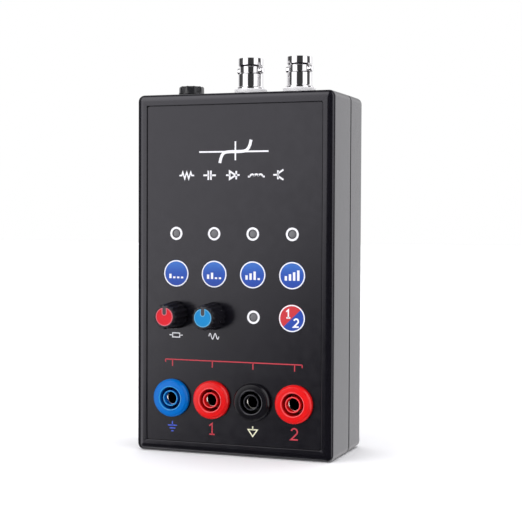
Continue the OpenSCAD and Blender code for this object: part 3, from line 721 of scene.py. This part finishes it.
def bnc(side):
    """A BNC outlet: barrel with a waist at its two lugs, over a shouldered washer."""
    node = f"bnc_{side}_body"
    low, high = box(node)
    place = top_of(node)
    tall = high.z - CASE_HIGH.z
    deep = low.z - CASE_HIGH.z
    r, bore, lug = 4.82, 4.06, tall - LUG_DROP
    washer = f"bnc_{side}_washer"
    washer_h = box(washer)[1].z - CASE_HIGH.z
    washer_r = (box(washer)[1].x - box(washer)[0].x) / 2
    waist, foot_r, foot = r - 0.55, 5.3, washer_h + 0.7
    neck_r = 4.4
    outline = rounded([
        (bore, 5), (bore, tall, 0.15), (r, tall, 0.12), (r, lug + 2.0, 0.1), (r - 0.45, lug + 1.4, 0.1),
        (waist, lug + 1.3, 0.05), (waist, lug - 1.05, 0.15), (r - 0.25, lug - 1.2, 0.1), (r, lug - 1.55, 0.1),
        (r, foot + 0.5, 0.1), (r + 0.1, foot + 0.1, 0.15), (foot_r, foot, 0.3), (foot_r, washer_h),
        (neck_r, washer_h), (neck_r, deep, 0.2), (2.5, deep), (2.5, 5)], 5)
    piece = make(f"bnc_{side}_barrel", turned(outline, 96), place, NICKEL, 50)
    stub = turned(rounded([(0, 4), (1.25, 4), (1.25, LUG_REACH, 0.3), (0, LUG_REACH)], 4), 32)
    for k, turn in enumerate((LUG_TURN, LUG_TURN + 180)):
        aim = Matrix.Translation((0, 0, lug)) @ Matrix.Rotation(math.radians(turn), 4, "Z")
        aim = aim @ Matrix.Rotation(math.radians(90), 4, "Y")
        dress(make(f"bnc_{side}_lug_{k + 1}", stub, place @ aim, NICKEL, 50), "case", "connector_nickel")
    dress(piece, "case", "connector_nickel", node)

    hole_r, spigot_r, spigot_end = neck_r + 0.05, 5.5, -2.1
    outline = rounded([(hole_r, spigot_end), (spigot_r, spigot_end, 0.2), (spigot_r, 0), (washer_r, 0, 0.15),
                       (washer_r, washer_h, 0.25), (hole_r, washer_h)], 5)
    dress(make(f"bnc_{side}_collar", turned(outline), place, WHITE_PLASTIC), "case", "white_plastic", washer)


def power_jack():
    """The jack's threaded mouth, its crown nut with ten scallops, and the washer under it."""
    place = top_of("power_jack_body")
    low, high = box("power_jack_nut")
    base = low.z - CASE_HIGH.z
    top = high.z - CASE_HIGH.z
    r = (high.x - low.x) / 2
    notch = ribs(10, 0.8)
    foot = base - 0.1
    outline = [(4.0, foot), (r - 0.08, foot), (r, foot + 0.08), (r, base + 0.6), (r - 0.1, base + 0.7),
               (r - 0.15, base + 0.8, -0.06, 0), (r - 0.16, top - 0.9, -0.16, -0.05),
               (r - 0.25, top - 0.45, -0.2, -0.2),
               (r - 0.55, top - 0.08, -0.2, -0.3), (r - 0.95, top, -0.1, -0.3), (4.0, top - 0.1)]
    dress(make("power_jack_crown", turned(outline, 160, notch), place, JACK_BLACK, 50), "case", "jack_black",
          "power_jack_nut")
    outline = rounded([(4.0, 0.02), (r - 0.05, 0.02, 0.1), (r - 0.05, foot, 0.08), (4.0, foot)], 3)
    collar = make("power_jack_collar", turned(outline), place, JACK_WASHER)
    dress(collar, "case", "steel", "power_jack_washer")


# ---------------------------------------------------------------- printed marks

INK = 0.03
INK_LOW = SHEET_F - 0.01
INK_HIGH = SHEET_F + INK


def mark(name, strokes, x, z, material, body="case", slot="white_plastic", low=INK_LOW, high=INK_HIGH):
    """Printed lines: each is (points, width), measured from a place on the panel."""
    parts = []
    for points, width in strokes:
        closed = points[0] == points[-1]
        parts.append(stroke(points[:-1] if closed else points, width, low, high, closed))
    return dress(make(name, joined(*parts), front(x, z), material, 20), body, slot)


def numeral(which, tall, width):
    """The figure 1 or 2 as lines, centred."""
    h = tall / 2
    if which == 1:
        return [([(-0.28 * tall, h - 0.22 * tall), (0, h), (0, -h)], width),
                ([(-0.26 * tall, -h), (0.26 * tall, -h)], width)]
    bowl = 0.29 * tall
    top = arc((0, h - bowl), bowl, 165, -40, 14)
    return [(top + [(-0.3 * tall, -h), (0.34 * tall, -h)], width)]


def level_bars(count):
    """Four rising bars, of which count are full height and the rest are short feet."""
    pitch, wide, foot, base = 1.65, 0.95, 0.7, -1.9
    lines = []
    for i in range(4):
        x = (i - 1.5) * pitch
        height = 1.7 + 0.75 * i if i < count else foot
        lines.append(([(x, base), (x, base + height)], wide))
    return lines


CURVE_PLACE = (1.0, 117.3)                   # the printed curve, the row of symbols under it,
SYMBOLS_Z = 108.3
SYMBOL_PITCH = 9.6
BUS_Z = 36.5                                 # and the line over the sockets


def print_curve():
    """A two-way diode's characteristic on its two axes."""
    def current(x):
        return 0.13 * (math.exp((x - 3.4) / 0.85) - math.exp((-3.6 - x) / 0.8))

    curve = [(x, current(x)) for x in [-6.4 + 0.4 * i for i in range(33)]]
    mark("print_curve", [(curve, 1.15)], *CURVE_PLACE, WHITE_INK, high=INK_HIGH + 0.01)
    axes = [[(-15, 0), (13.5, 0)], [(0, -3.3), (0, -0.4)], [(0, 0.4), (0, 3.9)]]
    mark("print_axes", [(axis, 0.62) for axis in axes], *CURVE_PLACE, WHITE_INK)


def print_symbols():
    """A row of five symbols: resistor, capacitor, diode, coil and transistor."""
    peaks = [(-2.1 + 0.84 * (i + 0.5), 1.25 * (-1) ** i) for i in range(5)]
    zigzag = [(-3.1, 0), (-2.1, 0)] + peaks + [(2.1, 0), (3.1, 0)]
    bumps = 3
    bump = 0.85
    coil = [[(-3.4, -0.6), (-bumps * bump, -0.6)], [(bumps * bump, -0.6), (3.4, -0.6)]]
    coil += [arc(((2 * i + 1 - bumps) * bump, -0.6), bump, 180, 0, 12) for i in range(bumps)]
    symbols = {
        "resistor": ([zigzag], 0.55),
        "capacitor": ([[(-2.6, 0), (-0.55, 0)], [(-0.55, -1.8), (-0.55, 1.8)],
                       [(0.55, -1.8), (0.55, 1.8)], [(0.55, 0), (2.6, 0)]], 0.66),
        "diode": ([[(-2.8, 0), (-1.3, 0)], [(-1.3, -1.5), (-1.3, 1.5), (1.2, 0), (-1.3, -1.5)],
                   [(1.4, -1.6), (1.4, 1.6)], [(1.4, 0), (2.8, 0)]], 0.66),
        "coil": (coil, 0.66),
        "transistor": ([[(-2.8, 0), (-0.9, 0)], [(-0.9, -1.7), (-0.9, 1.7)],
                        [(-0.9, 0.5), (1.3, 1.9)], [(-0.9, -0.5), (1.3, -1.9)]], 0.66)}
    for i, (name, (lines, width)) in enumerate(symbols.items()):
        strokes = [(points, width) for points in lines]
        mark(f"print_{name}", strokes, (i - 2) * SYMBOL_PITCH, SYMBOLS_Z, WHITE_INK)


def print_panel():
    """Every mark on the sheet and keys: symbols and figures only."""
    print_curve()
    print_symbols()
    for key in KEYS:
        at = middle(f"led_{key}")
        window = ring((0, 0), 2.15, 0.82, INK_LOW, INK_HIGH)
        dress(make(f"print_window_{key}", window, front(at.x, at.z), WHITE_INK, 20), "case", "white_plastic")
    key_face = -box("key_low")[0].y - 0.02
    for i, key in enumerate(KEYS[:4]):
        at = middle(f"key_{key}")
        mark(f"print_level_{key}", level_bars(i + 1), at.x, at.z, WHITE_INK, f"{key}_key",
             low=key_face - 0.05, high=key_face + 0.045)
    at = middle("key_channel")
    mark("print_channel_one", numeral(1, 3.0, 0.55), at.x - 1.4, at.z + 1.7, WHITE_INK, "channel_key",
         low=key_face - 0.05, high=key_face + 0.045)
    mark("print_channel_two", numeral(2, 3.0, 0.62), at.x + 1.7, at.z - 1.7, WHITE_INK, "channel_key",
         low=key_face - 0.05, high=key_face + 0.045)

    # below the knobs: series resistance and test frequency
    knob_z = middle("red_knob").z - 7.9
    body = [(-1.5, -0.8), (-1.5, 0.8), (1.5, 0.8), (1.5, -0.8), (-1.5, -0.8)]
    mark("print_resistance", [(body, 0.4), ([(-2.8, 0), (-1.5, 0)], 0.4), ([(1.5, 0), (2.8, 0)], 0.4)],
         middle("red_knob").x, knob_z, WHITE_INK)
    sine = [(-2.1 + 0.175 * i, 1.1 * math.sin(TAU * i / 12)) for i in range(25)]
    mark("print_frequency", [(sine, 0.34)], middle("blue_knob").x, knob_z, WHITE_INK)

    # a bus over the four sockets
    xs = [middle(f"{s}_socket").x for s in SOCKETS]
    bus = [([(xs[0] - 3, 0), (xs[3] + 3, 0)], 0.42)]
    bus += [([(x, 0), (x, -2.6)], 0.42) for x in xs]
    bus += [([(xs[0] - 3, 0), (xs[0] - 3, -1.1)], 0.42), ([(xs[3] + 3, 0), (xs[3] + 3, -1.1)], 0.42)]
    mark("print_bus", bus, 0, BUS_Z, RED_INK)

    label_z = middle("ground_socket").z - 11.4
    ground = [[(0, 2.1), (0, 0.5)], [(-1.9, 0.5), (1.9, 0.5)], [(-1.2, -0.6), (1.2, -0.6)],
              [(-0.5, -1.7), (0.5, -1.7)]]
    mark("print_ground", [(line, 0.5) for line in ground], xs[0], label_z, BLUE_INK)
    mark("print_one", numeral(1, 4.2, 0.55), xs[1], label_z, RED_INK)
    common = [([(0, 2.0), (0, 0.7)], 0.45), ([(-1.9, 0.7), (1.9, 0.7), (0, -1.9), (-1.9, 0.7)], 0.45)]
    mark("print_common", common, xs[2], label_z, YELLOW_INK)
    mark("print_two", numeral(2, 4.2, 0.6), xs[3], label_z, RED_INK)


# ---------------------------------------------------------------- studio

def aim(obj, at, target, roll=0.0):
    """Points an object's -Z at a target, upright, then rolls it."""
    look = (Vector(target) - Vector(at)).to_track_quat("-Z", "Y").to_matrix().to_4x4()
    obj.matrix_world = Matrix.Translation(at) @ look @ Matrix.Rotation(math.radians(roll), 4, "Z")


def around(azimuth, elevation, distance, centre):
    """A point seen from the centre at that azimuth from the front, towards +X, and that elevation."""
    a, e = math.radians(azimuth), math.radians(elevation)
    way = Vector((math.sin(a) * math.cos(e), -math.cos(a) * math.cos(e), math.sin(e)))
    return Vector(centre) + distance * way


CAMERA_AZIMUTH = 20.014
ROOM_LIGHT = 1.75


def camera():
    """The photograph's view: a little to the right of the front, just above the middle."""
    data = bpy.data.cameras.new("camera")
    data.sensor_width = 36
    data.lens = 88.45
    data.clip_start = 0.01
    obj = bpy.data.objects.new("camera", data)
    bpy.context.scene.collection.objects.link(obj)
    target = (0.00449, 0, 0.07488)
    elevation, distance, roll = 1.865, 0.50938, 0.25
    aim(obj, around(CAMERA_AZIMUTH, elevation, distance, target), target, roll)
    bpy.context.scene.camera = obj


def area(name, azimuth, elevation, distance, size, power):
    """A soft square lamp that looks at the object's middle."""
    data = bpy.data.lights.new(name, "AREA")
    data.shape = "SQUARE"
    data.size = size
    data.energy = power
    obj = bpy.data.objects.new(name, data)
    bpy.context.scene.collection.objects.link(obj)
    centre = (0, 0, MIDDLE * MM)
    aim(obj, around(azimuth, elevation, distance, centre), centre)


# Upright screens round the room: degrees round from the camera, half width, softness, and the share of light
# each takes away; the last one adds a little.
SCREENS = [(0, 29, 5, 0.97), (89, 18, 4, 0.95), (-108, 30, 5, 0.95), (180, 62, 8, 0.3), (180, 24, 8, 0.5),
           (-62, 14, 6, -0.3)]


class Sky:
    """The world's node tree, with short ways to add to it."""

    def __init__(self):
        scene_world = bpy.data.worlds.new("studio")
        bpy.context.scene.world = scene_world
        scene_world.use_nodes = True
        self.nodes = scene_world.node_tree.nodes
        self.links = scene_world.node_tree.links

    def add(self, kind, operation=None):
        node = self.nodes.new(kind)
        if operation:
            node.operation = operation
        return node

    def fade(self, value, start, end, low, high, interpolation="SMOOTHSTEP"):
        """Maps a value between start and end onto low to high."""
        node = self.add("ShaderNodeMapRange")
        node.interpolation_type = interpolation
        node.inputs["From Min"].default_value = start
        node.inputs["From Max"].default_value = end
        node.inputs["To Min"].default_value = low
        node.inputs["To Max"].default_value = high
        self.links.new(value, node.inputs["Value"])
        return node.outputs["Result"]

    def sum(self, operation, a, b):
        """Two values added or multiplied."""
        node = self.add("ShaderNodeMath", operation)
        self.links.new(a, node.inputs[0])
        self.links.new(b, node.inputs[1])
        return node.outputs[0]

    def mix(self, factor, a, b=None):
        """One value at factor 0 and another, or a plain 1, at factor 1."""
        node = self.add("ShaderNodeMix")
        self.links.new(factor, node.inputs["Factor"])
        self.links.new(a, node.inputs["A"])
        if b is None:
            node.inputs["B"].default_value = 1
        else:
            self.links.new(b, node.inputs["B"])
        return node.outputs["Result"]


def rise(degrees):
    """The height of a direction that many degrees above the horizon, on a sphere of radius 1."""
    return math.sin(math.radians(degrees))


def screened(sky, direction, height):
    """The light left in each direction by the screens; the one behind the camera is wider low down."""
    flat = sky.add("ShaderNodeVectorMath", "MULTIPLY")
    flat.inputs[1].default_value = (1, 1, 0)
    sky.links.new(direction, flat.inputs[0])
    level = sky.add("ShaderNodeVectorMath", "NORMALIZE")
    sky.links.new(flat.outputs[0], level.inputs[0])
    low_down = sky.fade(height, 0.06, -0.44, 0, 0.4, "LINEAR")
    light = None
    for offset, half, soft, depth in SCREENS:
        turn = math.radians(CAMERA_AZIMUTH + offset)
        dot = sky.add("ShaderNodeVectorMath", "DOT_PRODUCT")
        dot.inputs[1].default_value = (math.sin(turn), -math.cos(turn), 0)
        sky.links.new(level.outputs[0], dot.inputs[0])
        nearness = dot.outputs["Value"]
        if offset == 0:
            nearness = sky.sum("ADD", nearness, low_down)
        outer = math.cos(math.radians(half + soft))
        inner = math.cos(math.radians(max(half - soft, 0)))
        shade = sky.fade(nearness, outer, inner, 1, 1 - depth)
        light = shade if light is None else sky.sum("MULTIPLY", light, shade)
    return light


def world():
    """A pale room behind dark upright screens. Gloss sees a dark ceiling, and matt surfaces a bright one."""
    sky = Sky()
    direction = sky.add("ShaderNodeTexCoord").outputs["Generated"]
    split = sky.add("ShaderNodeSeparateXYZ")
    sky.links.new(direction, split.inputs[0])
    height = split.outputs["Z"]
    light = screened(sky, direction, height)
    matt = sky.mix(sky.fade(height, rise(28), rise(50), 0, 1), light)
    gloss = sky.sum("MULTIPLY", light, sky.fade(height, rise(50), rise(66), 1, 0.06))
    paths = sky.add("ShaderNodeLightPath")
    both = sky.mix(paths.outputs["Is Glossy Ray"], matt, gloss)
    strength = sky.add("ShaderNodeMath", "MULTIPLY")
    strength.inputs[1].default_value = ROOM_LIGHT
    sky.links.new(both, strength.inputs[0])
    room = sky.nodes["Background"]
    room.inputs["Color"].default_value = (0.985, 0.98, 1.0, 1)
    sky.links.new(strength.outputs[0], room.inputs["Strength"])
    plain = sky.add("ShaderNodeBackground")
    plain.inputs["Color"].default_value = (1, 1, 1, 1)
    seen = sky.add("ShaderNodeMixShader")
    sky.links.new(paths.outputs["Is Camera Ray"], seen.inputs["Fac"])
    sky.links.new(room.outputs[0], seen.inputs[1])
    sky.links.new(plain.outputs[0], seen.inputs[2])
    sky.links.new(seen.outputs[0], sky.nodes["World Output"].inputs["Surface"])


def floor():
    """A wide pale sweep under the object."""
    reach = 4000
    part = slab([(-reach, -reach), (reach, -reach), (reach, reach), (-reach, reach)], -2, 0)
    look = plastic("floor_paper", linear(250, 250, 251), 0.8, grain=2, depth=0.01, drift=0.005).material
    sweep = make("floor", part, Matrix.Identity(4), look)
    sweep.visible_glossy = False             # the plastic mirrors the pale room, not the paper


# ---------------------------------------------------------------- the scene

camera()
world()
floor()
area("key_light", -48, 42, 1.1, 0.9, 1.5)
bpy.context.scene.view_settings.view_transform = "Standard"

slot_of = {row["node"]: row["material_slot"] for row in frame["record"]["subparts"]}
for node, obj in frame["nodes"].items():
    look = SLOT_LOOKS.get(slot_of[node], BLACK_CASE)
    obj.data.materials.clear()
    obj.data.materials.append(look)

front_shell()
rear_shell()
panel_sheet()
for key in KEYS:
    lamp(key)
    at = middle(f"key_{key}")
    reach = (box("key_low")[1].x - box("key_low")[0].x) / 2
    if key == "channel":
        ink = split_print("key_ink_channel", at.x, at.z)
    else:
        ink = key_print(f"key_ink_{key}", at.z, reach)
    key_cap(key, ink)
knob("red", CAP_RED, CAP_RED_LIP_HIGHLIGHT)
knob("blue", CAP_BLUE, CAP_BLUE_LIP_HIGHLIGHT)
RED_SOCKET = (SOCKET_RED, SOCKET_RED_HIGHLIGHT, "socket_red")
SOCKET_LOOKS = [(SOCKET_BLUE, SOCKET_BLUE_HIGHLIGHT, "socket_blue"), RED_SOCKET,
                (SOCKET_BLACK, SOCKET_BLACK_HIGHLIGHT, "socket_black"), RED_SOCKET]
for name, looks in zip(SOCKETS, SOCKET_LOOKS):
    socket(name, *looks)
bnc("left")
bnc("right")
power_jack()
print_panel()
